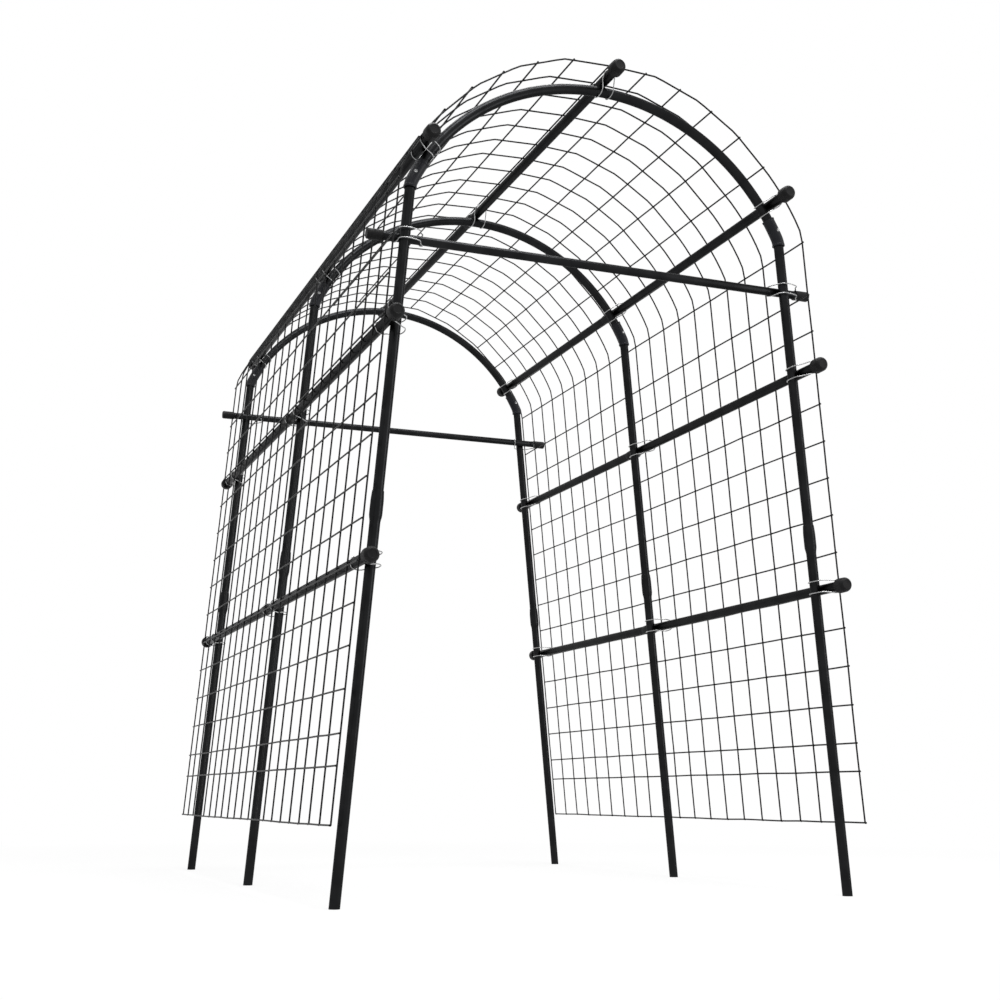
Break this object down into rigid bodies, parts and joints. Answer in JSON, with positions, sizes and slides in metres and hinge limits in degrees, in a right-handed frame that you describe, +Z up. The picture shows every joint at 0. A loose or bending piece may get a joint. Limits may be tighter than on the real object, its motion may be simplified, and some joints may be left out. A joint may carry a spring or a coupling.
{
  "type": "metal trellis arch",
  "caption": "Tunnel-shaped garden trellis arch: tubular hoops, lengthwise tubes with end caps, entrance crossbars and welded wire netting over walls and roof.",
  "frame": {"origin": "on the ground, at the middle of the footprint", "axes": "+Z up; +Y along the tunnel, from the front entrance to the rear; +X to the right of someone walking in at the front"},
  "size_m": [1.0882, 1.612, 1.6268],
  "materials": {
    "coated_steel": "satin black plastic coating on steel tube",
    "elbow_plastic": "moulded plastic, slightly bluish black",
    "cap_plastic": "moulded plastic, dark grey",
    "netting_wire": "thin black coating on welded wire",
    "spring_wire": "bright zinc-plated spring wire and screw heads"
  },
  "bodies": {
    "root": {"crossbar_cap_front_left": "cap_plastic", "crossbar_cap_front_right": "cap_plastic", "crossbar_cap_rear_left": "cap_plastic", "crossbar_cap_rear_right": "cap_plastic", "crossbar_front": "coated_steel", "crossbar_rear": "coated_steel", "lower_pole_front_left": "coated_steel", "lower_pole_front_right": "coated_steel", "lower_pole_middle_left": "coated_steel", "lower_pole_middle_right": "coated_steel", "lower_pole_rear_left": "coated_steel", "lower_pole_rear_right": "coated_steel", "netting_roof_left": "netting_wire", "netting_roof_ridge": "netting_wire", "netting_roof_right": "netting_wire", "netting_wall_left": "netting_wire", "netting_wall_right": "netting_wire", "purlin_cap_lower_left_front": "cap_plastic", "purlin_cap_lower_left_rear": "cap_plastic", "purlin_cap_lower_right_front": "cap_plastic", "purlin_cap_lower_right_rear": "cap_plastic", "purlin_cap_middle_left_front": "cap_plastic", "purlin_cap_middle_left_rear": "cap_plastic", "purlin_cap_middle_right_front": "cap_plastic", "purlin_cap_middle_right_rear": "cap_plastic", "purlin_cap_ridge_front": "cap_plastic", "purlin_cap_ridge_rear": "cap_plastic", "purlin_cap_shoulder_left_front": "cap_plastic", "purlin_cap_shoulder_left_rear": "cap_plastic", "purlin_cap_shoulder_right_front": "cap_plastic", "purlin_cap_shoulder_right_rear": "cap_plastic", "purlin_lower_left_front": "coated_steel", "purlin_lower_left_rear": "coated_steel", "purlin_lower_right_front": "coated_steel", "purlin_lower_right_rear": "coated_steel", "purlin_middle_left_front": "coated_steel", "purlin_middle_left_rear": "coated_steel", "purlin_middle_right_front": "coated_steel", "purlin_middle_right_rear": "coated_steel", "purlin_ridge_front": "coated_steel", "purlin_ridge_rear": "coated_steel", "purlin_shoulder_left_front": "coated_steel", "purlin_shoulder_left_rear": "coated_steel", "purlin_shoulder_right_front": "coated_steel", "purlin_shoulder_right_rear": "coated_steel", "roof_arch_front": "coated_steel", "roof_arch_middle": "coated_steel", "roof_arch_rear": "coated_steel", "shoulder_elbow_front_left": "elbow_plastic", "shoulder_elbow_front_right": "elbow_plastic", "shoulder_elbow_middle_left": "elbow_plastic", "shoulder_elbow_middle_right": "elbow_plastic", "shoulder_elbow_rear_left": "elbow_plastic", "shoulder_elbow_rear_right": "elbow_plastic", "upper_pole_front_left": "coated_steel", "upper_pole_front_right": "coated_steel", "upper_pole_middle_left": "coated_steel", "upper_pole_middle_right": "coated_steel", "upper_pole_rear_left": "coated_steel", "upper_pole_rear_right": "coated_steel"}
  },
  "joints": []
}
